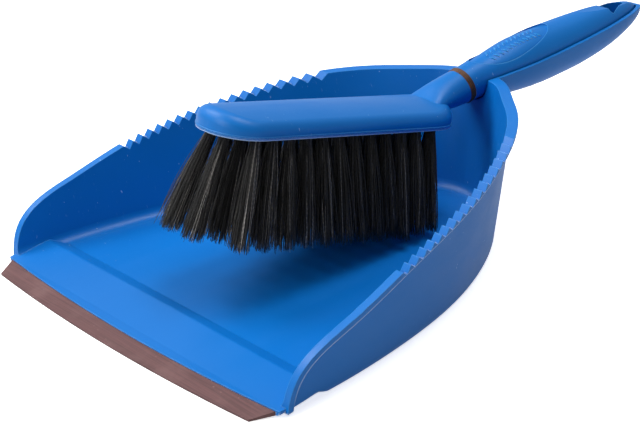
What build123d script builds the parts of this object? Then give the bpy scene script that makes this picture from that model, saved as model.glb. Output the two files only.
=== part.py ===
from build123d import *
from math import atan2, cos, degrees, radians, sin, sqrt, tan
import os

# Dust pan with a hand brush lying in it. Millimetres, +Z up, open edge of the pan towards -Y,
# handles towards +Y, mirror plane at X = 0, the pan standing on Z = 0.

# ---- pan: overall sizes -------------------------------------------------------------------
pan_width = 229.0        # across the rim, outside to outside
pan_length = 219.5       # lip line to the back of the floor
rim_height = 64.0        # rim above the ground at the back
draft = 6.5              # slope of the walls from upright at the front, degrees
draft_back = 11.0        # the same at the back
wall = 2.2               # moulding thickness of the walls
floor_thick = 2.6        # moulding thickness of the floor
floor_round = 4.5        # outside radius where the walls meet the floor
floor_cove = 5.5         # inside radius there
rim_lip = 3.0            # depth of the rim's turned-out edge
rim_overhang = 1.8       # how far the rim stands out from the wall at the front
rim_spread = 1.6         # extra overhang gained by the back

# ---- pan: front edge and ramp -------------------------------------------------------------
edge_y = 10.4            # front edge of the pan at its corners
edge_bow = 5.2           # how far that edge bows forward at the middle
edge_low = 1.0           # underside of the front edge
edge_top = 3.1           # top of the front edge
rim_start = 2.9          # the rim begins this far behind the front edge
crest_y = 32.0           # highest line of the ramp
crest_top = 6.4
crest_run = 8.5          # length of the drop behind the crest
crest_under = 3.9        # hollow under the crest

# ---- pan: comb ----------------------------------------------------------------------------
comb_teeth = 17
comb_start = 0.398       # first and last tooth, as shares of the pan length
comb_end = 0.821
comb_growth = 1.12       # last tooth's width against the first
comb_depth = 3.1

# ---- rubber lip ---------------------------------------------------------------------------
lip_half = 102.8         # half width at the front of the strip
lip_mitre = 5.7          # widening from its front to its back
lip_front = 0.9          # thickness at the front
tongue_deep = 3.0
tongue_thick = 1.0

# ---- handle of the pan: a trough the brush handle lies in ----------------------------------
handle_wide_back = 42.5  # widest point of the handles behind the back of the floor
handle_long = 130.4      # tip of the pan handle behind the back of the floor
grip_half = 13.0         # half width of the brush handle
grip_deep = 13.3         # half height of the brush handle
grip_height = 64.6       # middle of the brush handle at its widest point
grip_rise = 6.0          # climb of that middle towards the tip
play = 0.75              # gap between the two handles
trough_wall = 1.7
trough_rim = 72.5        # top of the trough at the tip

# ---- brush block --------------------------------------------------------------------------
block_length = 146.0
block_width = 43.0
block_high = 11.6
block_edge = 7.0         # height of the block along its sides
block_tilt = 14.5        # nose-up lie of the block, degrees
block_front = 157.6      # front of the block ahead of the back of the floor
block_z = 84.8           # height of its underside there
nose_radius = 20.0
crown_round = 6.0
seam_width = 0.6         # raised line round the block, its height and how far it stands out
seam_height = 1.2
seam_out = 0.3

# ---- neck and ring ------------------------------------------------------------------------
neck_back = 0.3          # middle of the ring behind the back of the floor
neck_z = 61.3
neck_radius = 9.3
neck_tilt = 14.0
ring_width = 2.8
ring_deep = 1.2

# ---- grip details -------------------------------------------------------------------------
pad_length = 53.0
pad_width = 21.5
pad_deep = 1.1
hang_length = 17.6
hang_width = 15.0
hang_flat = 1.2          # depth of the flat face around the hole
hang_fall = 6.0          # fall of that face towards the tip, degrees
hang_back = 8.7          # solid between the hole and the tip

# ---- tufts --------------------------------------------------------------------------------
tuft_columns = 14
tuft_rows = 4
tuft_front = 8.0         # first hole, from the front of the block
tuft_pitch = 9.9
tuft_row_pitch = 10.0
tuft_hole = 5.2
tuft_margin = 1.5        # least solid around a hole
tuft_fit = 0.05
hole_deep = 6.5
anchor_high = 1.5
anchor_thick = 0.4
tuft_length = 52.0
tuft_spread = 1.75       # tip distance from the middle as a share of the root distance
fan_front = 19.0         # forward lean of the first column
floor_gap = 0.5          # least height of the tips over the pan floor

handle_wide_y = pan_length + handle_wide_back
handle_end = pan_length + handle_long
block_y = pan_length - block_front
neck_y = pan_length + neck_back
slope = tan(radians(draft))
half = pan_width / 2
big = 3 * pan_width


def save(part, name):
    """Write one node."""
    part.label = name
    export_step(part, "parts/" + name + ".step")


def shifted(edge, distance, count=15):
    """Points of a plan or profile edge pushed to its right by a distance that may vary along it."""
    points = []
    for i in range(count):
        u = i / (count - 1)
        at = edge.position_at(u)
        way = edge.tangent_at(u)
        push = distance(at) if callable(distance) else distance
        points.append((at.X + push * way.Y, at.Y - push * way.X))
    return points


# ---- pan ----------------------------------------------------------------------------------
def floor_edge():
    """Right half of the floor outline, front to back, on the ground."""
    wide = half - rim_overhang
    lean = rim_height * slope
    return Spline(
        (wide - 0.2 * lean, -20),
        (wide - 0.45 * lean, 0.168 * pan_length),
        (0.888 * half, 0.394 * pan_length),
        (0.773 * half, 0.595 * pan_length),
        (0.571 * half, 0.788 * pan_length),
        (0.389 * half, 0.893 * pan_length),
        (0.245 * half, 0.947 * pan_length),
        (0, pan_length),
        tangents=((-0.02, 1), (-1, 0)),
    )


def share(point):
    """How far back a point lies, from 0 at the lip line to 1 at the back of the floor."""
    return max(0.0, min(1.0, point.Y / pan_length))


def flare(point):
    """Outward run of the wall per unit of height at a point of the outline."""
    return slope + (tan(radians(draft_back)) - slope) * share(point)


def reach(point):
    """Overhang of the rim at a point of the outline."""
    return rim_overhang + rim_spread * share(point)


def plan(grow):
    """Right half of the pan's plan outline, grown outwards by a distance."""
    right = shifted(floor_edge(), grow, 19)
    right[-1] = (0, right[-1][1])
    side = Spline(right, tangents=((-0.02, 1), (-1, 0)))
    front = right[0][1]
    return make_face([side, Line(right[-1], (0, front)), Line((0, front), right[0])])


def flared(inset, low, high, lip=None, foot=0.0):
    """Solid between two levels whose sides follow the draft of the walls, its foot rounded."""
    def at(level):
        return plan(lambda p: level * flare(p) - inset + (lip(p) if lip else 0.0))
    side = loft([Pos(0, 0, low) * at(low), Pos(0, 0, high) * at(high)], ruled=True)
    if foot:
        edges = side.edges().filter_by(lambda e: abs(e.center().Z - low) < 0.01)
        side = fillet(edges.sort_by(Edge.length)[-1], foot)
    return side + mirror(side, Plane.YZ)


def rim_edge():
    """Side profile of the rim, drawn as (y, z), from the front corner to the handle tip."""
    start = edge_y + rim_start
    return Spline(
        (start, 0.0),
        (start + 0.5, 0.070 * rim_height),
        (start + 1.6, 0.141 * rim_height),
        (start + 5.6, 0.266 * rim_height),
        (start + 12.7, 0.367 * rim_height),
        (start + 23.7, 0.448 * rim_height),
        (start + 37.3, 0.512 * rim_height),
        (comb_start * pan_length, 0.688 * rim_height),
        (0.610 * pan_length, 0.840 * rim_height),
        (comb_end * pan_length, 0.957 * rim_height),
        (0.938 * pan_length, 0.988 * rim_height),
        (1.070 * pan_length, rim_height),
    )


def side_prism(face):
    """Push a (y, z) profile through the full width."""
    stand = Plane(origin=(-big / 2, 0, 0), x_dir=(0, 1, 0), z_dir=(1, 0, 0))
    return extrude(stand * face, big)


def under_rim(drop=0.0):
    """Everything below the rim profile, or below a line a little under it."""
    rim = rim_edge()
    end = rim.position_at(1)
    far = (handle_end + 20, trough_rim)
    if drop:
        points = shifted(rim, drop, 30)
        rim = Spline(points)
        end = rim.position_at(1)
        far = (far[0], far[1] - drop)
    start = rim.position_at(0)
    lines = [
        rim,
        Line((end.X, end.Y), far),
        Line(far, (far[0], -9)),
        Line((far[0], -9), (start.X, -9)),
        Line((start.X, -9), (start.X, start.Y)),
    ]
    return side_prism(make_face(lines))


def ramp():
    """Ramp behind the front edge, as thick as the moulding, hollow underneath."""
    low = -9
    top = Polyline(
        (-20, low),
        (-20, edge_top - 0.6),
        (edge_y, edge_top + 0.5),
        (crest_y, crest_top),
        (crest_y + crest_run, floor_thick),
        (crest_y + crest_run, low),
        (-20, low),
    )
    body = side_prism(make_face(top))
    ridge = [e for e in body.edges().filter_by(Axis.X)
             if abs(e.center().Y - crest_y) < 0.1 and abs(e.center().Z - crest_top) < 0.1]
    return fillet(ridge, 3.5)


def hollow_under():
    """Space under the ramp."""
    shape = Polyline(
        (-40, -9),
        (-40, edge_low),
        (edge_y, edge_low),
        (crest_y - 2, crest_under),
        (crest_y, crest_under),
        (crest_y + crest_run + 1, 0),
        (crest_y + crest_run + 1, -9),
        (-40, -9),
    )
    return side_prism(make_face(shape))


def edge_radius():
    """Radius of the bowed front edge of the pan."""
    return (edge_half() ** 2 + edge_bow ** 2) / (2 * edge_bow)


def edge_half():
    """Half width of the front edge."""
    return half - 3.5


def edge_axis():
    """Upright axis the front edge and the rubber lip are struck from."""
    return Axis((0, edge_y - edge_bow + edge_radius(), 0), (0, 0, 1))


def spun(points):
    """Turn a (y, z) section about the axis of the front edge."""
    turn = 2 * degrees(atan2(half + 12, edge_radius()))
    face = Plane(origin=(0, 0, 0), x_dir=(0, 1, 0), z_dir=(1, 0, 0)) * make_face(
        Polyline(points, close=True))
    return revolve(face.rotate(edge_axis(), -turn / 2), edge_axis(), turn)


def ahead_of_edge():
    """Everything in front of the pan's bowed front edge."""
    y = edge_y - edge_bow
    return spun([(y, -9), (y, 2 * rim_height), (y - 60, 2 * rim_height), (y - 60, -9)])


def make_lip():
    """Rubber strip with a tongue held in the front edge of the pan."""
    y = edge_y - edge_bow
    low = (edge_low + edge_top - tongue_thick) / 2
    run = edge_y - 0.7
    section = [
        (y - run, 0),
        (y, edge_low),
        (y, low),
        (y + tongue_deep, low),
        (y + tongue_deep, low + tongue_thick),
        (y, low + tongue_thick),
        (y, edge_top - 0.2),
        (y - run, lip_front),
    ]
    grow = lip_mitre / edge_y
    ends = make_face(Polyline(
        (-(lip_half - 10 * grow), -10),
        (lip_half - 10 * grow, -10),
        (lip_half + (edge_y + 4) * grow, edge_y + 4),
        (-(lip_half + (edge_y + 4) * grow), edge_y + 4),
        close=True,
    ))
    return spun(section) & extrude(Pos(0, 0, -2) * ends, 12)


def comb():
    """Zigzag cut taken out of the rim on both sides."""
    rim = rim_edge()
    points = []
    for i in range(-2, 2 * comb_teeth + 1):
        u = i / (2 * comb_teeth - 2)
        u += (comb_growth - 1) / 2 * u * (u - 1)
        y = (comb_start + (comb_end - comb_start) * u) * pan_length
        points.append((y, height_at(rim, y) - comb_depth * (i % 2)))
    over = 2 * rim_height
    points = [(points[0][0], over)] + points + [(points[-1][0], over)]
    return side_prism(make_face(Polyline(points, close=True)))


def height_at(rim, y):
    """Height of the rim profile at a distance from the front."""
    low = 0.0
    high = 1.0
    for _ in range(40):
        mid = (low + high) / 2
        if rim.position_at(mid).X < y:
            low = mid
        else:
            high = mid
    return rim.position_at(low).Y


def along(y):
    """Share of the way from the widest point of the handles to their tip."""
    return max(0.0, (y - handle_wide_y) / (handle_end - 2 - handle_wide_y))


def half_width(y):
    """Half width of the brush handle at a distance from the front."""
    if y < handle_wide_y:
        u = (handle_wide_y - y) / (handle_wide_y - neck_y)
        return grip_half - (grip_half - neck_radius) * u * u * (3 - 2 * u)
    return grip_half * (1 - along(y) ** 2.2) ** 0.56


def half_height(y):
    """Half height of the brush handle."""
    if y < handle_wide_y:
        u = (handle_wide_y - y) / (handle_wide_y - neck_y)
        return grip_deep - (grip_deep - neck_radius) * u * u * (3 - 2 * u)
    return grip_deep * (1 - along(y) ** 2.6) ** 0.6


def middle(y):
    """Height of the middle of the brush handle."""
    if y < handle_wide_y:
        u = (handle_wide_y - y) / (handle_wide_y - neck_y)
        return grip_height - (grip_height - neck_z) * u ** 1.6
    return grip_height + grip_rise * along(y) ** 2


def handle_ys(start):
    """Section positions, closer together towards the tip."""
    end = handle_end - 2.6
    count = 9
    ys = []
    for i in range(count):
        u = i / (count - 1)
        ys.append(start + (end - start) * (1 - (1 - u) ** 1.7))
    return ys


def handle_plane(y, z, lean):
    """Plane across the handles at a distance from the front, leaned back by an angle."""
    a = radians(lean)
    return Plane(origin=(0, y, z), x_dir=(1, 0, 0), z_dir=(0, -cos(a), -sin(a)))


def trough_form(grow, start, top):
    """U-shaped channel around the brush handle, left open at the top."""
    sections = []
    for y in [start, neck_y] + handle_ys(neck_y + 14):
        at = max(y, neck_y)
        a = half_width(at) + grow
        b = half_height(at) + grow
        z = middle(at)
        reach_on = grow * (y - start) / (handle_end - start)
        bowl = EllipticalCenterArc((0, 0), a, b, 180, arc_size=180)
        left = Line((-a, top - z), (-a, 0))
        right = Line((a, 0), (a, top - z))
        face = make_face([left, bowl, right, Line((a, top - z), (-a, top - z))])
        sections.append(handle_plane(y + reach_on, z, 0) * face)
    return loft(sections)


def make_pan(lip):
    """One-piece pan: floor, ramp, walls, rim, combs and trough handle."""
    high = rim_height + 26
    outside = flared(0, 0, high, foot=floor_round)
    inside = flared(wall / cos(radians(draft)), floor_thick, high + 5, foot=floor_cove) - ramp()
    collar = flared(0, 0, high, lip=reach)
    band = under_rim() - under_rim(rim_lip)
    body = outside & under_rim()
    body += collar & band
    body += outside & ramp()
    body += trough_form(play + trough_wall, pan_length - 4, 95) & under_rim()
    body -= inside
    body -= trough_form(play, pan_length - 12, 99)
    body -= hollow_under()
    body -= ahead_of_edge()
    body -= comb()
    return body - lip


# ---- brush --------------------------------------------------------------------------------
def block_place():
    """Lie of the brush block: its front bottom point and its nose-up tilt."""
    return Pos(0, block_y, block_z) * Rot(-block_tilt, 0, 0)


def make_block():
    """Brush block drawn flat, from its front at Y = 0, domed on top."""
    outline = Pos(0, block_length / 2) * RectangleRounded(block_width, block_length, nose_radius)
    drop = block_high - block_edge
    dome = ((block_width / 2) ** 2 + drop ** 2) / (2 * drop)
    body = extrude(outline, block_high)
    roof = Pos(0, block_length / 2, block_high - dome) * Rot(90, 0, 0) * Cylinder(
        dome, 2 * block_length)
    body &= roof
    top = body.edges().filter_by(lambda e: e.center().Z > block_edge - 0.5)
    body = fillet(top, crown_round)
    return body + extrude(Pos(0, 0, seam_height) * offset(outline, seam_out), seam_width)


def lean_at(y):
    """Backward lean of the handle's cross-sections."""
    u = max(0.0, (handle_wide_y - y) / (handle_wide_y - neck_y))
    return neck_tilt * u * u


def oval(y, z, a, b, lean):
    """Elliptical section across the handle."""
    return handle_plane(y, z, lean) * Ellipse(a, b)


def make_handle():
    """Neck and grip of the brush, lofted from the block to the tip."""
    sink = block_place() * Pos(0, block_length - 19, block_high / 2)
    rise = block_place() * Pos(0, block_length - 5, block_high + 0.6)
    sections = [
        oval(sink.position.Y, sink.position.Z, 0.56 * block_width / 2, 3.0, -block_tilt),
        oval(rise.position.Y, rise.position.Z - 1.5, 1.15 * neck_radius, 0.72 * neck_radius,
             0.6 * neck_tilt),
        oval(neck_y, neck_z, neck_radius, neck_radius, neck_tilt),
    ]
    for y in handle_ys(neck_y + 14):
        sections.append(oval(y, middle(y), half_width(y), half_height(y), lean_at(y)))
    return loft(sections)


def ring_band():
    """Ring-shaped space around the neck."""
    plane = handle_plane(neck_y, neck_z, neck_tilt)
    ring = Circle(neck_radius + 4) - Circle(neck_radius - ring_deep)
    return extrude(plane * ring, ring_width / 2, both=True)


def make_ring():
    """Rubber ring filling the groove of the neck."""
    plane = handle_plane(neck_y, neck_z, neck_tilt)
    ring = Circle(neck_radius + 0.1) - Circle(neck_radius - ring_deep)
    return extrude(plane * ring, ring_width / 2, both=True)


def thumb_pad(handle):
    """Shallow oval recess on top of the grip."""
    at = handle_wide_y - 8
    patch = Pos(0, at, middle(at)) * extrude(Ellipse(pad_width / 2, pad_length / 2), 40)
    return (handle & patch) - Pos(0, 0, -pad_deep) * handle


def hang_hole():
    """Rounded triangular hole near the tip, flat side forward."""
    back = handle_end - hang_back
    front = back - hang_length
    shape = make_face(Polyline(
        (-hang_width / 2, front), (hang_width / 2, front), (0, back), close=True))
    shape = fillet(shape.vertices(), 1.4)
    return extrude(shape, 2 * rim_height)


def hang_face():
    """Space above the flat face that the hanging hole opens in."""
    start = handle_end - hang_back - hang_length
    level = middle(start) + half_height(start) - hang_flat
    sit = (Align.CENTER, Align.CENTER, Align.MIN)
    return Pos(0, start, level) * Rot(-hang_fall, 0, 0) * Box(4 * grip_half, 90, 30, align=sit)


def tuft_roots():
    """Row, column and flat position of every tuft hole."""
    for column in range(tuft_columns):
        for row in range(tuft_rows):
            x = (row - (tuft_rows - 1) / 2) * tuft_row_pitch
            y = tuft_front + column * tuft_pitch
            end = min(y, block_length - y)
            corner = max(0.0, nose_radius - end)
            inside = block_width / 2 - nose_radius + sqrt(nose_radius ** 2 - corner ** 2)
            if abs(x) + tuft_hole / 2 + tuft_margin < inside:
                yield row, column, x, y


def make_stock():
    """Brush block, neck and grip in one moulding."""
    handle = make_handle()
    drill = Cylinder(tuft_hole / 2, hole_deep, align=(Align.CENTER, Align.CENTER, Align.MIN))
    below = Box(
        2 * block_width, 2 * block_length, big, align=(Align.CENTER, Align.CENTER, Align.MAX))
    keep = block_place() * Pos(0, block_length / 2, hole_deep + 0.5) * below
    body = block_place() * make_block() + (handle - keep)
    body -= [block_place() * Pos(x, y, 0) * drill for _, _, x, y in tuft_roots()]
    body -= ring_band()
    body -= thumb_pad(handle)
    body -= hang_face()
    return body - hang_hole()


def make_tuft(x, y):
    """Bundle of filaments: a root in its hole and a widening, leaning brush of tips."""
    radius = tuft_hole / 2 - tuft_fit
    root = Pos(x, y, 0) * extrude(Circle(radius), hole_deep - anchor_high)
    lead = max(0.0, 1 - y / (block_length / 2))
    tip_x = x * tuft_spread
    tip_y = y - fan_front * lead ** 1.6
    across = 0.75 * tuft_row_pitch
    deep = 0.455 * tuft_pitch
    tilt = radians(block_tilt)
    low = tip_y + deep
    room = block_z - low * sin(tilt) - floor_thick - floor_gap
    length = min(tuft_length - 5 * lead ** 4, room / cos(tilt))
    tips = Pos(tip_x, tip_y, -length) * Ellipse(across, deep)
    spray = loft([tips, Pos(x, y, 0) * Circle(radius)], ruled=True)
    return block_place() * (root + spray)


def make_anchors():
    """Flat metal anchors that pin the tufts in their holes."""
    sit = (Align.CENTER, Align.CENTER, Align.MAX)
    bar = Box(tuft_hole - 0.4, anchor_thick, anchor_high, align=sit)
    bars = [block_place() * Pos(x, y, hole_deep) * bar for _, _, x, y in tuft_roots()]
    return Compound(children=bars)


def main():
    """Build and write every node."""
    lip = make_lip()
    save(lip, "lip_strip")
    save(make_pan(lip), "pan_body")
    save(make_stock(), "brush_stock")
    save(make_ring(), "neck_ring")
    save(make_anchors(), "tuft_anchors")
    for row, column, x, y in tuft_roots():
        save(make_tuft(x, y), f"tuft_{'abcdefgh'[row]}{column + 1:02d}")


os.makedirs("parts", exist_ok=True)
main()
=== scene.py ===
"""Looks of a dust pan with its hand brush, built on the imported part's frame."""

from __future__ import annotations

import logging
import math
from dataclasses import dataclass, field
from enum import Enum

import bpy
import numpy as np
from mathutils import Matrix, Vector
from mathutils.bvhtree import BVHTree

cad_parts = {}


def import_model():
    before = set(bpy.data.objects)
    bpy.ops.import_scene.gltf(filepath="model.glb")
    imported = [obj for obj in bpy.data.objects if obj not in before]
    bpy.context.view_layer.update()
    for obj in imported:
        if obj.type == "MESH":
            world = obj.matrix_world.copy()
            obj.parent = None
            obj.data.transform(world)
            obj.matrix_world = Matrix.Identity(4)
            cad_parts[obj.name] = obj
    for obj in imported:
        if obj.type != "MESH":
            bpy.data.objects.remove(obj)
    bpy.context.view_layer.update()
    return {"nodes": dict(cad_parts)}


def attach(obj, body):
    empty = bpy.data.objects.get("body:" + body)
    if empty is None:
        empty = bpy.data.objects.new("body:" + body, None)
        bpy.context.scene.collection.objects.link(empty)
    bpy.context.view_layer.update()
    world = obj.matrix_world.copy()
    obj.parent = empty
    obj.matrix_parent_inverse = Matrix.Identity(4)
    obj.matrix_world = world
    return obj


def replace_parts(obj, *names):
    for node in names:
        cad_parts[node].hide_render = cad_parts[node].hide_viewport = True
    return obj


log = logging.getLogger("dust_pan_set")

Colour = tuple[float, float, float]
Place = tuple[float, float, float]
SEED = 41
GOLDEN_ANGLE = math.pi * (3 - math.sqrt(5))


class Body(Enum):
    """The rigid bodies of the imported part."""

    PAN = "pan"
    BRUSH = "brush"


class Slot(Enum):
    """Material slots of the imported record."""

    PAN = "pan_plastic"
    STOCK = "stock_plastic"
    LIP = "lip_rubber"
    RING = "ring_rubber"
    BRISTLE = "bristle"
    METAL = "anchor_metal"


# ---- shader graphs ------------------------------------------------------------------------
class Value:
    """A shader value whose arithmetic adds Math nodes."""

    def __init__(self, graph: Graph, socket: bpy.types.NodeSocket) -> None:
        """Wrap one output socket of a graph."""
        self.graph = graph
        self.socket = socket

    def _math(self, operation: str, first: object, second: object) -> Value:
        """Add one Math node.

        Args:
            operation: Name of the Math operation.
            first: Left operand, a value or a number.
            second: Right operand, a value or a number.

        Returns:
            The node's result.
        """
        return self.graph.node("ShaderNodeMath", {"operation": operation}, {0: first, 1: second})

    def __add__(self, other: object) -> Value:
        """Sum."""
        return self._math("ADD", self, other)

    __radd__ = __add__

    def __sub__(self, other: object) -> Value:
        """Difference."""
        return self._math("SUBTRACT", self, other)

    def __rsub__(self, other: object) -> Value:
        """Difference from a number."""
        return self._math("SUBTRACT", other, self)

    def __mul__(self, other: object) -> Value:
        """Product."""
        return self._math("MULTIPLY", self, other)

    __rmul__ = __mul__

    def __pow__(self, other: object) -> Value:
        """Power."""
        return self._math("POWER", self, other)

    def above(self, low: float, high: float) -> Value:
        """Smooth step from 0 at low to 1 at high.

        Args:
            low: Where the step starts.
            high: Where the step ends.

        Returns:
            The stepped value.
        """
        return self.graph.node(
            "ShaderNodeMapRange",
            {"interpolation_type": "SMOOTHSTEP"},
            {"Value": self, "From Min": low, "From Max": high},
        )


class Graph:
    """Node tree of one material, with its Principled shader."""

    def __init__(self, name: str) -> None:
        """Start a material of that name."""
        self.material = bpy.data.materials.new(name)
        self.material.use_nodes = True
        self.tree = self.material.node_tree
        self.shader = self.tree.nodes["Principled BSDF"]

    def node(
        self, kind: str, settings: dict | None = None, inputs: dict | None = None, out: object = 0
    ) -> Value:
        """Add any node.

        Args:
            kind: Node type.
            settings: Properties, set before the sockets.
            inputs: Socket name or number to a value, a colour, a vector or a link.
            out: Name or number of the output that is wanted.

        Returns:
            That output.
        """
        made = self.tree.nodes.new(kind)
        for key, value in (settings or {}).items():
            if key == "stops":
                self._stops(made.color_ramp, value)
            else:
                setattr(made, key, value)
        for key, value in (inputs or {}).items():
            self.put(made.inputs[key], value)
        return Value(self, made.outputs[out])

    def put(self, socket: bpy.types.NodeSocket, value: object) -> None:
        """Link or set one input socket.

        Args:
            socket: The input.
            value: A wrapped output, a number or a tuple.
        """
        if isinstance(value, Value):
            self.tree.links.new(value.socket, socket)
        elif isinstance(value, tuple) and socket.type == "RGBA":
            socket.default_value = (*value, 1.0)[:4]
        else:
            socket.default_value = value

    @staticmethod
    def _stops(ramp: bpy.types.ColorRamp, stops: list[tuple[float, Colour]]) -> None:
        """Set a colour ramp's stops."""
        while len(ramp.elements) < len(stops):
            ramp.elements.new(0.5)
        for element, (place, colour) in zip(ramp.elements, stops):
            element.position = place
            element.color = (*colour, 1.0)

    def place(self, scale: Place = (1, 1, 1), turn: Place = (0, 0, 0)) -> Value:
        """Object coordinates, stretched or turned.

        Args:
            scale: Stretch along the three axes.
            turn: Turn about the three axes, in radians.

        Returns:
            The coordinates.
        """
        coordinates = self.node("ShaderNodeTexCoord", out="Object")
        return self.node(
            "ShaderNodeMapping", {}, {"Vector": coordinates, "Scale": scale, "Rotation": turn}
        )

    def noise(self, at: Value, scale: float, detail: float = 3.0, rough: float = 0.5) -> Value:
        """Smooth noise.

        Args:
            at: Coordinates.
            scale: Features per metre.
            detail: Octaves.
            rough: Weight of the finer octaves.

        Returns:
            Noise between 0 and 1.
        """
        wanted = {"Vector": at, "Scale": scale, "Detail": detail, "Roughness": rough}
        return self.node("ShaderNodeTexNoise", {}, wanted)

    def mix(self, factor: object, first: object, second: object) -> Value:
        """Blend two colours.

        Args:
            factor: Share of the second colour.
            first: First colour.
            second: Second colour.

        Returns:
            The blended colour.
        """
        return self.node(
            "ShaderNodeMix",
            {"data_type": "RGBA"},
            {"Factor": factor, 6: first, 7: second},
            out=2,
        )

    def rounded(self, radius: float) -> Value:
        """Normal with sharp edges rounded off."""
        return self.node("ShaderNodeBevel", {"samples": 6}, {"Radius": radius})

    def edges(self, rounded: Value) -> Value:
        """How strongly a rounded normal leaves the true one, 0 on open faces."""
        true = self.node("ShaderNodeNewGeometry", out="Normal")
        agree = self.node(
            "ShaderNodeVectorMath", {"operation": "DOT_PRODUCT"}, {0: rounded, 1: true}, out=1
        )
        return (1 - agree).above(0.01, 0.25)

    def below(self, normal: Value) -> Value:
        """How far a normal points down, 1 straight down."""
        parts = self.node("ShaderNodeSeparateXYZ", {}, {"Vector": normal}, out="Z")
        return parts * -1.0

    def bump(
        self, height: Value, depth: float, strength: float, base: Value | None = None
    ) -> Value:
        """Bumped normal.

        Args:
            height: Height field.
            depth: Height of the field in metres.
            strength: Share of the effect.
            base: Normal that is bumped.

        Returns:
            The normal.
        """
        wanted = {"Strength": strength, "Distance": depth, "Height": height}
        if base is not None:
            wanted["Normal"] = base
        return self.node("ShaderNodeBump", {}, wanted)

    def finish(self, **sockets: object) -> bpy.types.Material:
        """Set the shader's sockets, underscores standing for spaces, and return the material."""
        for name, value in sockets.items():
            self.put(self.shader.inputs[name.replace("_", " ")], value)
        return self.material


# ---- finishes -----------------------------------------------------------------------------
@dataclass(frozen=True)
class PlasticFinish:
    """Semi-gloss moulded plastic with soft waviness, fine scratches and tiny scuffs, and painted
    highlights on its edges.
    """

    name: str
    colour: Colour
    dark: Colour
    # edge: colour of the painted highlight on sharp edges, partly also stress-whitened plastic
    edge: Colour
    scuff: Colour = (0.45, 0.68, 0.9)
    # glow: colour of the painted highlight on down-facing edges, a painted reflection of the pale
    # floor
    glow: Colour = (0.75, 0.88, 1.0)
    roughness: float = 0.35
    wave: float = 0.00012
    edge_radius: float = 0.0006
    scuffed: float = 1.0

    def build(self) -> bpy.types.Material:
        """Make the material."""
        g = Graph(self.name)
        at = g.place()
        cloud = g.noise(at, 14.0, 2.0)
        grain = g.noise(at, 900.0, 2.0, 0.6)
        smear = g.noise(g.place((1.0, 0.25, 1.0)), 60.0, 4.0, 0.6)
        rub = g.noise(g.place((1, 7, 1), (0, 0, 0.5)), 230.0, 2.0, 0.55).above(0.69, 0.78)
        fleck = g.noise(g.place((1, 1.7, 1), (0.3, 0.2, 0.9)), 420.0, 1.0).above(0.76, 0.8)
        thin = g.noise(at, 7.0, 1.0).above(0.5, 0.66)
        mark = (fleck + rub * 0.35) * thin * self.scuffed
        rounded = g.rounded(self.edge_radius)
        edge_highlight = g.edges(rounded)
        # Painted highlight on down-facing edges, a painted reflection of the pale floor; the glow
        # colour is mixed in below
        wide = g.rounded(self.edge_radius * 2.5)
        under = g.edges(wide) * g.below(wide).above(0.15, 0.4)
        colour = g.mix(cloud.above(0.3, 0.7) * 0.5, self.colour, self.dark)
        # Painted highlight: sharp edges lighten towards the edge colour, partly also the paler
        # stress-whitened plastic of moulded edges
        colour = g.mix(edge_highlight * 0.6, colour, self.edge)
        colour = g.mix(under * 0.9, colour, self.glow)
        colour = g.mix(mark * 0.6, colour, self.scuff)
        height = smear * 0.7 + cloud + grain * 0.02
        return g.finish(
            Base_Color=colour,
            Roughness=self.roughness + smear.above(0.35, 0.75) * 0.09 + grain * 0.05 + mark * 0.2,
            Normal=g.bump(height, self.wave, 0.35, rounded),
            Specular_IOR_Level=0.3,
            IOR=1.46,
        )


@dataclass(frozen=True)
class RubberFinish:
    """Dull rubber with streaks drawn along it and pale specks of dust."""

    name: str
    colour: Colour
    dark: Colour
    dust: Colour
    streak: Place = (0.12, 6.0, 6.0)
    roughness: float = 0.62

    def build(self) -> bpy.types.Material:
        """Make the material."""
        g = Graph(self.name)
        along = g.noise(g.place(self.streak), 160.0, 4.0, 0.65)
        patch = g.noise(g.place(), 35.0, 4.0, 0.6)
        grain = g.noise(g.place(), 1600.0, 2.0, 0.6)
        speck = g.noise(g.place((0.6, 1, 1)), 700.0, 1.0).above(0.74, 0.79)
        colour = g.mix(along.above(0.3, 0.7), self.colour, self.dark)
        colour = g.mix(patch.above(0.45, 0.75) * 0.35, colour, self.dust)
        colour = g.mix(speck * 0.6, colour, self.dust)
        rounded = g.rounded(0.0004)
        height = along * 0.6 + grain * 0.4
        return g.finish(
            Base_Color=colour,
            Roughness=self.roughness + grain * 0.14,
            Normal=g.bump(height, 0.0002, 0.6, rounded),
            Specular_IOR_Level=0.4,
        )


@dataclass(frozen=True)
class FilamentFinish:
    """Black crimped filament with painted glints in its base colour, following the crimp along
    each strand and strongest on strands with much painted light.
    """

    name: str
    colour: Colour
    glint: Colour
    crimps: float
    glint_shift: float = 9.0
    roughness: float = 0.42

    def build(self) -> bpy.types.Material:
        """Make the material."""
        g = Graph(self.name)
        # Painted light of each strand, set by the tufts: painted glints and painted shade
        painted_strand_light = g.node("ShaderNodeAttribute", {"attribute_name": "strand_painted_light"}, out="Fac")
        along = g.node("ShaderNodeAttribute", {"attribute_name": "strand_along"}, out="Fac")
        turns = along * self.crimps + painted_strand_light * self.glint_shift
        band = g.node("ShaderNodeMath", {"operation": "SINE"}, {0: turns * math.tau})
        catch = band.above(-0.2, 0.9)
        # Painted glint: the black lightens towards the glint colour where the strand's painted
        # light is high and the crimp's band catches
        colour = g.mix(painted_strand_light ** 3 * (0.55 + catch * 0.45), self.colour, self.glint)
        grain = g.noise(g.place(), 2500.0, 2.0)
        return g.finish(
            Base_Color=colour,
            Roughness=self.roughness + catch * 0.1 - painted_strand_light * 0.1,
            Normal=g.bump(band * 0.5 + grain, 0.0001, 0.5),
            Specular_IOR_Level=0.45,
        )


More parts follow.
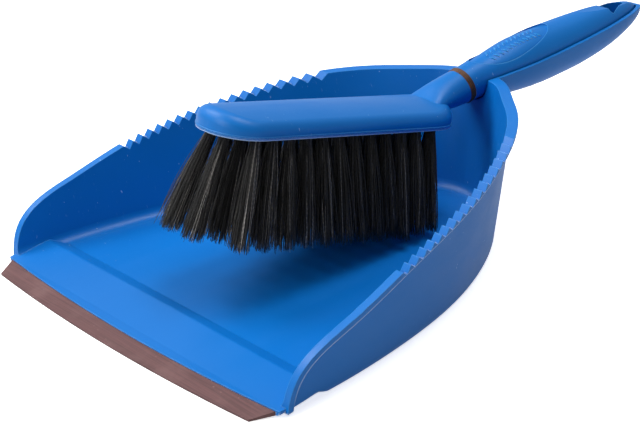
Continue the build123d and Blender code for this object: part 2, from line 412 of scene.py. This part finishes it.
@dataclass(frozen=True)
class MetalFinish:
    """Drawn steel of the anchors."""

    name: str
    colour: Colour = (0.5, 0.5, 0.51)

    def build(self) -> bpy.types.Material:
        """Make the material."""
        g = Graph(self.name)
        drawn = g.noise(g.place((30.0, 1.0, 1.0)), 300.0, 3.0)
        return g.finish(
            Base_Color=g.mix(drawn, self.colour, (0.3, 0.3, 0.31)),
            Roughness=0.3 + drawn * 0.2,
            Metallic=1.0,
        )


@dataclass(frozen=True)
class Palette:
    """All finishes of the set."""

    pan: PlasticFinish = PlasticFinish(
        "pan_blue", (0.001, 0.155, 0.535), (0.001, 0.136, 0.48), (0.08, 0.4, 0.8)
    )
    stock: PlasticFinish = PlasticFinish(
        "brush_blue", (0.001, 0.152, 0.51), (0.001, 0.136, 0.47), (0.06, 0.37, 0.78), scuffed=0.5
    )
    # The thumb marks get a paler copy of the stock's blue: a painted highlight on the raised bars
    marks: PlasticFinish = PlasticFinish(
        "mark_blue_highlit", (0.012, 0.25, 0.66), (0.008, 0.23, 0.62), (0.08, 0.42, 0.8), scuffed=0.2
    )
    lip: RubberFinish = RubberFinish(
        "lip_brown", (0.136, 0.06, 0.061), (0.087, 0.038, 0.039), (0.24, 0.135, 0.13)
    )
    ring: RubberFinish = RubberFinish(
        "ring_brown", (0.11, 0.045, 0.02), (0.05, 0.02, 0.01), (0.2, 0.1, 0.05), (1.0, 1.0, 1.0)
    )
    # The second bristle colour is the painted glint
    bristle: FilamentFinish = FilamentFinish(
        "bristle_black", (0.004, 0.004, 0.004), (0.66, 0.62, 0.58), 26.0
    )
    metal: MetalFinish = MetalFinish("anchor_steel")


# ---- mesh helpers -------------------------------------------------------------------------
def deselect() -> None:
    """Leave edit mode and select nothing."""
    if bpy.context.object is not None and bpy.context.object.mode != "OBJECT":
        bpy.ops.object.mode_set(mode="OBJECT")
    bpy.ops.object.select_all(action="DESELECT")


def vertices_of(thing: bpy.types.Object) -> np.ndarray:
    """Vertex places of an object's mesh, one row each."""
    places = np.zeros(len(thing.data.vertices) * 3)
    thing.data.vertices.foreach_get("co", places)
    return places.reshape(-1, 3)


def settle(thing: bpy.types.Object, name: str) -> bpy.types.Object:
    """Name an object and put its place into its mesh.

    Args:
        thing: The object.
        name: Its new name.

    Returns:
        The same object.
    """
    deselect()
    thing.select_set(True)
    bpy.context.view_layer.objects.active = thing
    bpy.ops.object.transform_apply(location=True, rotation=True, scale=True)
    thing.name = name
    thing.data.name = name
    return thing


def carry(
    thing: bpy.types.Object, body: Body, material: bpy.types.Material
) -> bpy.types.Object:
    """Dress a piece and let it ride on a body.

    Args:
        thing: The finished piece.
        body: Body it moves with.
        material: Its material.

    Returns:
        The same piece.
    """
    thing.data.materials.clear()
    thing.data.materials.append(material)
    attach(thing, body.value)
    log.info("%s: %d faces on %s", thing.name, len(thing.data.polygons), body.value)
    return thing


def dress(node: bpy.types.Object, material: bpy.types.Material) -> None:
    """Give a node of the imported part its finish."""
    node.data.materials.clear()
    node.data.materials.append(material)
    log.info("%s dressed", node.name)


# ---- pan ----------------------------------------------------------------------------------
@dataclass
class Pan:
    """The moulded pan and its rubber lip."""

    nodes: dict[str, bpy.types.Object]
    palette: Palette

    def build(self) -> None:
        """Dress the moulding and the lip."""
        dress(self.nodes["pan_body"], self.palette.pan.build())
        dress(self.nodes["lip_strip"], self.palette.lip.build())


# ---- brush --------------------------------------------------------------------------------
@dataclass
class Strand:
    """One filament, modelled once and copied into every tuft."""

    sides: int = 3
    steps: int = 14
    radius: float = 0.00018

    def model(self) -> tuple[np.ndarray, np.ndarray]:
        """Extrude a small triangle step by step into a strand of length 1.

        Returns:
            Vertex places and triangle corners.
        """
        deselect()
        bpy.ops.mesh.primitive_circle_add(
            vertices=self.sides, radius=1.0, fill_type="NGON", location=(0, 0, 0)
        )
        strand = bpy.context.object
        bpy.ops.object.mode_set(mode="EDIT")
        bpy.ops.mesh.select_all(action="SELECT")
        for step in range(self.steps):
            bpy.ops.mesh.extrude_region_move(
                TRANSFORM_OT_translate={"value": (0, 0, 1 / self.steps)}
            )
            if step == self.steps - 1:
                bpy.ops.transform.resize(value=(0.55, 0.55, 1))
        bpy.ops.mesh.select_all(action="SELECT")
        bpy.ops.mesh.normals_make_consistent(inside=False)
        bpy.ops.mesh.quads_convert_to_tris()
        bpy.ops.object.mode_set(mode="OBJECT")
        places = vertices_of(strand)
        corners = np.zeros(len(strand.data.polygons) * 3, int)
        strand.data.polygons.foreach_get("vertices", corners)
        bpy.data.objects.remove(strand, do_unlink=True)
        return places, corners.reshape(-1, 3)


@dataclass
class Bristles:
    """Tufts of crimped filaments in the block's holes."""

    nodes: dict[str, bpy.types.Object]
    material: bpy.types.Material
    tilt: float = math.radians(14.5)
    per_tuft: int = 140
    strand: Strand = field(default_factory=Strand)
    low: float = 0.0034         # least height of a strand over the ground
    end_slice: float = 0.001    # depth of the slices that give a tuft's root and tip
    fill_across: float = 0.94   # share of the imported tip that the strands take
    fill_back: float = 0.86
    gather: float = 0.0009      # forward lean of the tip, per column past gather_from
    gather_from: int = 9
    wild: float = 0.0009        # scatter of the tips
    loose_share: float = 0.04   # share of strands that stray loose_reach times as far
    loose_reach: float = 2.4
    uneven: float = 0.0007      # scatter of a whole tuft's length
    worn: float = 0.0010        # how much shorter a strand may be
    overlong: float = 0.0006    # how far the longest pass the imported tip
    crown: float = 0.0013       # how much shorter the outer strands are
    inside: float = 0.09        # share of a strand that stays straight in its hole
    belly: float = 0.1          # how early the fan opens
    crimp: float = 0.00011      # height of the crimp's waves
    crimp_waves: int = 6
    bow: float = 0.0006         # scatter of each strand's own bow
    # The next three fields set painted light on the strands: the share of strands with painted
    # glints, painted shade towards the gaps between the rows, and painted shade per column
    # towards the back.
    bright: float = 0.34        # share of bright strands
    gap_shade: float = 0.75     # darkening towards the gaps between the rows
    back_shade: float = 0.03          # darkening per column towards the back

    def lie(self) -> np.ndarray:
        """Axes of the block in the row frame, one per row: across, back and up."""
        c, s = math.cos(self.tilt), math.sin(self.tilt)
        return np.array([[1, 0, 0], [0, c, -s], [0, s, c]])

    def build(self) -> None:
        """Make every tuft."""
        rng = np.random.default_rng(SEED)
        places, corners = self.strand.model()
        names = sorted(n for n in self.nodes if n.startswith("tuft_") and n != "tuft_anchors")
        for name in names:
            tuft = self.tuft(name, places, corners, rng)
            carry(tuft, Body.BRUSH, self.material)
            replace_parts(tuft, name)

    def tuft(
        self, name: str, places: np.ndarray, corners: np.ndarray, rng: np.random.Generator
    ) -> bpy.types.Object:
        """Fan strands out from one hole.

        Args:
            name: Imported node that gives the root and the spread.
            places: Vertices of a strand.
            corners: Triangles of a strand.
            rng: Seeded source of chance.

        Returns:
            The tuft.
        """
        solid = vertices_of(self.nodes[name]) @ self.lie().T
        top, bottom = solid[:, 2].max(), solid[:, 2].min()
        root, mouth = self.middle(solid[solid[:, 2] > top - self.end_slice])
        tip, spread = self.middle(solid[solid[:, 2] < bottom + self.end_slice])
        hole = mouth[0] - self.strand.radius
        column = int(name[-2:])
        tip[1] -= self.gather * max(0, column - self.gather_from)
        count = self.per_tuft
        turn = np.arange(count) * GOLDEN_ANGLE
        out = np.sqrt((np.arange(count) + 0.5) / count)
        round_x, round_y = out * np.cos(turn), out * np.sin(turn)
        start = np.stack([root[0] + hole * round_x, root[1] + hole * round_y, top + 0 * turn], 1)
        stray = rng.normal(0, self.wild, (count, 2))
        stray[rng.random(count) < self.loose_share] *= self.loose_reach
        trim = rng.normal(0, self.uneven)
        length = rng.gamma(1.5, self.worn, count) - self.overlong + self.crown * out ** 2 + trim
        end = np.stack([
            tip[0] + spread[0] * round_x * self.fill_across + stray[:, 0],
            tip[1] + spread[1] * round_y * self.fill_back + stray[:, 1],
            bottom + length,
        ], 1)
        # Painted light on each strand: painted highlight bands across the tuft, painted shade
        # towards the gaps between the rows, and painted shade growing per column towards the
        # back, so the front tufts are painted brighter.
        painted_bands = 0.5 + 0.5 * np.sin(7 * round_y + 4 * round_x + math.tau * rng.random())
        lit = (1 - self.gap_shade * round_y ** 2) * (1.15 - self.back_shade * column)
        lit *= 0.4 + 0.6 * painted_bands
        world = self.paths(start, end, places, rng)
        # Each strand's painted glints, times that painted light
        painted_strand_light = np.repeat(self.strand_glints(rng) * lit, len(places))
        return self.mesh(name, world, corners, painted_strand_light, np.tile(places[:, 2], count))

    @staticmethod
    def middle(ring: np.ndarray) -> tuple[np.ndarray, np.ndarray]:
        """Middle and half sizes of a slice of a packed tuft."""
        low, high = ring.min(0), ring.max(0)
        return (low + high) / 2, (high - low) / 2

    def paths(
        self, start: np.ndarray, end: np.ndarray, places: np.ndarray, rng: np.random.Generator
    ) -> np.ndarray:
        """Bend, crimp and bow the strand along every path of a tuft.

        Args:
            start: Roots in the block's axes.
            end: Tips in the block's axes.
            places: Vertices of a strand.
            rng: Seeded source of chance.

        Returns:
            Vertex places in the row frame, by strand.
        """
        count = len(start)
        t = places[:, 2][None, :, None]
        bend = np.clip((t - self.inside) / (1 - self.inside), 0, 1)
        sweep = np.broadcast_to(bend + self.belly * bend * (1 - bend), (count, len(places), 1))
        share = np.concatenate([sweep, sweep, np.broadcast_to(t, sweep.shape)], 2)
        path = start[:, None, :] + (end - start)[:, None, :] * share
        bend = bend[:, :, 0]
        phase = rng.random((count, 1)) * math.tau
        wave = np.sin(t[:, :, 0] * math.tau * self.crimp_waves + phase)
        crimp = self.crimp * wave * bend ** 0.3
        bow = rng.normal(0, self.bow, (count, 2))
        arch = np.sin(bend * math.pi)
        path[:, :, 0] += crimp * np.cos(phase) + arch * bow[:, :1]
        path[:, :, 1] += crimp * np.sin(phase) + arch * bow[:, 1:]
        path[:, :, :2] += places[None, :, :2] * self.strand.radius
        world = path @ self.lie()
        world[:, :, 2] = np.maximum(world[:, :, 2], self.low)
        return world

    def strand_glints(self, rng: np.random.Generator) -> np.ndarray:
        """Painted glints of each strand of a tuft: most strands dark, some with bright painted
        glints.
        """
        shade = rng.random(self.per_tuft) * 0.4
        bright = rng.random(self.per_tuft) < self.bright
        shade[bright] = 0.6 + 0.4 * rng.random(bright.sum())
        return shade

    @staticmethod
    def mesh(
        name: str, world: np.ndarray, corners: np.ndarray, painted_strand_light: np.ndarray, along: np.ndarray
    ) -> bpy.types.Object:
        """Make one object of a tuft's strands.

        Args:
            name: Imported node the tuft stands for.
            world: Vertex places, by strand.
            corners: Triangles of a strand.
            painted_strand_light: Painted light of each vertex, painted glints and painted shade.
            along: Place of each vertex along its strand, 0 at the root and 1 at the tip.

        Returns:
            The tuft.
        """
        count, n = world.shape[:2]
        faces = (corners[None] + (np.arange(count) * n)[:, None, None]).reshape(-1, 3)
        data = bpy.data.meshes.new(name.replace("tuft_", "bristles_"))
        data.from_pydata(world.reshape(-1, 3).tolist(), [], faces.tolist())
        for key, values in (("strand_painted_light", painted_strand_light), ("strand_along", along)):
            layer = data.attributes.new(key, "FLOAT", "POINT")
            layer.data.foreach_set("value", values.astype(np.float32))
        data.polygons.foreach_set("use_smooth", np.ones(len(faces), bool))
        data.update()
        tuft = bpy.data.objects.new(data.name, data)
        bpy.context.scene.collection.objects.link(tuft)
        return tuft


@dataclass
class NeckRing:
    """Rubber ring around the neck, with fine grooves."""

    nodes: dict[str, bpy.types.Object]
    material: bpy.types.Material
    ribs: int = 4
    groove: float = 0.0003
    flare: float = 0.0004
    proud: float = 0.00015
    steps_per_rib: int = 4
    smooth_below: float = math.radians(50)

    def build(self) -> bpy.types.Object:
        """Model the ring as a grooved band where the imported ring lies.

        Returns:
            The ring.
        """
        solid = vertices_of(self.nodes["neck_ring"])
        centre = (solid.min(0) + solid.max(0)) / 2
        axis = np.linalg.svd(solid - centre, full_matrices=False)[2][-1]
        along = (solid - centre) @ axis
        width = along.max() - along.min() + 2 * self.flare
        radii = np.linalg.norm(solid - centre - np.outer(along, axis), axis=1)
        ring = self.band(self.section(radii.min(), radii.max() + self.proud, width))
        turn = Vector((0, 0, 1)).rotation_difference(Vector(axis)).to_matrix().to_4x4()
        sunk = Matrix.Translation((0, 0, -width / 2))
        ring.matrix_world = Matrix.Translation(Vector(centre)) @ turn @ sunk
        settle(ring, "neck_ring_ribbed")
        bpy.ops.object.shade_smooth_by_angle(angle=self.smooth_below)
        carry(ring, Body.BRUSH, self.material)
        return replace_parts(ring, "neck_ring")

    def section(self, inner: float, outer: float, width: float) -> list[tuple[float, float]]:
        """Section of the band, from one inner edge over the outside to the other.

        Args:
            inner: Inside radius.
            outer: Outside radius.
            width: Size along the axis.

        Returns:
            Radius and height of each corner.
        """
        steps = self.ribs * self.steps_per_rib
        turns = [self.ribs * i / steps for i in range(steps + 1)]
        wave = [0.5 + 0.5 * math.cos(math.tau * turn) for turn in turns]
        ridge = [(outer - self.groove * w, width * i / steps) for i, w in enumerate(wave)]
        return [(inner, 0.0), *ridge, (inner, width)]

    @staticmethod
    def band(section: list[tuple[float, float]]) -> bpy.types.Object:
        """Extrude a circle along a section and close the inside.

        Args:
            section: Radius and height of each corner.

        Returns:
            The band, standing on the origin.
        """
        deselect()
        bpy.ops.mesh.primitive_circle_add(vertices=96, radius=section[0][0], location=(0, 0, 0))
        ring = bpy.context.object
        bpy.ops.object.mode_set(mode="EDIT")
        bpy.ops.mesh.select_all(action="SELECT")
        for (before, low), (after, high) in zip(section, section[1:]):
            bpy.ops.mesh.extrude_region_move(
                TRANSFORM_OT_translate={"value": (0, 0, high - low)}
            )
            bpy.ops.transform.resize(value=(after / before, after / before, 1))
        bpy.ops.mesh.select_all(action="DESELECT")
        bpy.ops.mesh.select_non_manifold()
        bpy.ops.mesh.bridge_edge_loops()
        bpy.ops.mesh.select_all(action="SELECT")
        bpy.ops.mesh.normals_make_consistent(inside=False)
        bpy.ops.object.mode_set(mode="OBJECT")
        return ring


@dataclass
class ThumbRibs:
    """Raised grip marks in the oval recess of the handle."""

    nodes: dict[str, bpy.types.Object]
    material: bpy.types.Material
    centre_y: float = 0.254
    span: float = 0.032
    rows: int = 2
    columns: int = 12
    row_gap: float = 0.0046
    side: float = 0.0026
    length: float = 0.0036
    width: float = 0.001
    height: float = 0.0006
    slant: float = math.radians(28)
    above: float = 0.2

    def build(self) -> bpy.types.Object:
        """Model one rounded bar and copy it over the recess.

        Returns:
            The joined bars.
        """
        stock = self.nodes["brush_stock"]
        tree = BVHTree.FromObject(stock, bpy.context.evaluated_depsgraph_get())
        deselect()
        spots = [(row, column) for row in range(self.rows) for column in range(self.columns)]
        bars = [bar for spot in spots if (bar := self.bar(tree, *spot)) is not None]
        deselect()
        for bar in bars:
            bar.select_set(True)
        bpy.context.view_layer.objects.active = bars[0]
        bpy.ops.object.join()
        ribs = settle(bpy.context.object, "thumb_grip_bars")
        bpy.ops.object.shade_smooth()
        return carry(ribs, Body.BRUSH, self.material)

    def bar(self, tree: BVHTree, row: int, column: int) -> bpy.types.Object | None:
        """One bar on the surface.

        Args:
            tree: The handle's surface.
            row: Row across the handle.
            column: Place along it.

        Returns:
            The bar, or nothing where the handle ends.
        """
        along = (column / (self.columns - 1) - 0.5) * self.span
        across = (row - (self.rows - 1) / 2) * self.row_gap
        point = Vector((self.side + across, self.centre_y + along, self.above))
        hit, normal, _, _ = tree.ray_cast(point, Vector((0, 0, -1)))
        if hit is None:
            return None
        bpy.ops.mesh.primitive_uv_sphere_add(segments=14, ring_count=8, radius=0.5)
        bar = bpy.context.object
        bpy.ops.object.mode_set(mode="EDIT")
        bpy.ops.mesh.select_all(action="SELECT")
        bpy.ops.transform.resize(value=(self.length, self.width, self.height * 2))
        bpy.ops.object.mode_set(mode="OBJECT")
        lift = Vector((0, 0, 1)).rotation_difference(normal).to_matrix().to_4x4()
        turn = Matrix.Rotation(self.slant * (1 if row % 2 else -1), 4, "Z")
        bar.matrix_world = Matrix.Translation(hit) @ lift @ turn
        return bar


@dataclass
class Brush:
    """The hand brush: stock, ring, bristles, anchors and thumb marks."""

    nodes: dict[str, bpy.types.Object]
    palette: Palette

    def build(self) -> None:
        """Build and dress every piece."""
        dress(self.nodes["brush_stock"], self.palette.stock.build())
        dress(self.nodes["tuft_anchors"], self.palette.metal.build())
        Bristles(self.nodes, self.palette.bristle.build()).build()
        NeckRing(self.nodes, self.palette.ring.build()).build()
        ThumbRibs(self.nodes, self.palette.marks.build()).build()


# ---- studio -------------------------------------------------------------------------------
@dataclass(frozen=True)
class Lamp:
    """One square soft lamp: where it stands, the side of its face and its watts."""

    name: str
    place: Place
    size: float
    power: float


@dataclass
class Studio:
    """Pale floor, soft lights and the camera."""

    lamps: tuple[Lamp, ...] = (
        Lamp("key", (-0.9, -0.3, 1.2), 0.8, 17.0),
        Lamp("front_fill", (-0.2, -1.3, 0.9), 0.9, 13.0),
        Lamp("top", (0.15, 0.4, 1.3), 0.6, 10.0),
    )
    aim: Place = (0, 0.15, 0.03)
    eye: Place = (0.6777, -0.3869, 0.4025)
    right: Place = (0.6264, 0.7759, -0.0747)
    up: Place = (-0.2753, 0.3099, 0.9101)
    lens: float = 106.875
    sensor: float = 36.0
    around: float = 0.13
    mirrored: float = 0.55
    floor_size: float = 8.0
    floor_drop: float = 0.0002

    def build(self) -> None:
        """Set up the whole studio."""
        self.floor()
        self.world()
        for lamp in self.lamps:
            self.light(lamp)
        self.camera()

    def floor(self) -> None:
        """Large pale floor just under the pan, white to the camera and dimmer as light."""
        deselect()
        bpy.ops.mesh.primitive_plane_add(size=self.floor_size, location=(0, 0, -self.floor_drop))
        floor = bpy.context.object
        floor.name = "studio_floor"
        g = Graph("studio_paper")
        faint = g.noise(g.place(), 6.0, 3.0)
        seen = g.node("ShaderNodeLightPath", out="Is Camera Ray")
        white = g.mix(faint, (0.9, 0.9, 0.9), (0.87, 0.87, 0.87))
        paper = g.mix(seen, (0.56, 0.56, 0.56), white)
        glow = g.mix(seen, (0.24, 0.24, 0.24), (0.74, 0.74, 0.74))
        floor.data.materials.append(g.finish(
            Base_Color=paper, Roughness=0.8, Emission_Color=glow, Emission_Strength=1.0
        ))

    def world(self) -> None:
        """Even surroundings, white to the camera, dimmer in mirrors and dimmest as light."""
        world = bpy.data.worlds.new("studio")
        world.use_nodes = True
        tree = world.node_tree
        path = tree.nodes.new("ShaderNodeLightPath")
        backdrop = tree.nodes.new("ShaderNodeRGB").outputs["Color"]
        backdrop.default_value = (self.around,) * 3 + (1.0,)
        for ray, level in (("Is Glossy Ray", self.mirrored), ("Is Camera Ray", 1.0)):
            mix = tree.nodes.new("ShaderNodeMix")
            mix.data_type = "RGBA"
            tree.links.new(path.outputs[ray], mix.inputs["Factor"])
            tree.links.new(backdrop, mix.inputs[6])
            mix.inputs[7].default_value = (level,) * 3 + (1.0,)
            backdrop = mix.outputs[2]
        tree.links.new(backdrop, tree.nodes["Background"].inputs["Color"])
        bpy.context.scene.world = world

    def light(self, lamp: Lamp) -> None:
        """Set up one lamp, turned to the set.

        Args:
            lamp: What it is and where it stands.
        """
        light = bpy.data.lights.new(lamp.name, "AREA")
        light.energy = lamp.power
        light.size = lamp.size
        stand = bpy.data.objects.new(lamp.name, light)
        stand.location = lamp.place
        aim = Vector(self.aim) - Vector(lamp.place)
        stand.rotation_mode = "QUATERNION"
        stand.rotation_quaternion = aim.to_track_quat("-Z", "Y")
        bpy.context.scene.collection.objects.link(stand)

    def camera(self) -> None:
        """Camera at the product view."""
        data = bpy.data.cameras.new("camera")
        data.lens = self.lens
        data.sensor_width = self.sensor
        data.sensor_fit = "HORIZONTAL"
        data.clip_start, data.clip_end = 0.01, 50.0
        eye = bpy.data.objects.new("camera", data)
        right, up = Vector(self.right), Vector(self.up)
        back = right.cross(up)
        turn = Matrix((right, up, back)).transposed().to_4x4()
        eye.matrix_world = Matrix.Translation(Vector(self.eye)) @ turn
        bpy.context.scene.collection.objects.link(eye)
        bpy.context.scene.camera = eye


def main() -> None:
    """Build the looks in order."""
    logging.basicConfig(level=logging.INFO, format="%(name)s %(message)s")
    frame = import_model()
    bpy.context.scene.view_settings.view_transform = "Standard"
    nodes = frame["nodes"]
    palette = Palette()
    Pan(nodes, palette).build()
    Brush(nodes, palette).build()
    Studio().build()


if __name__ == "__main__":
    main()
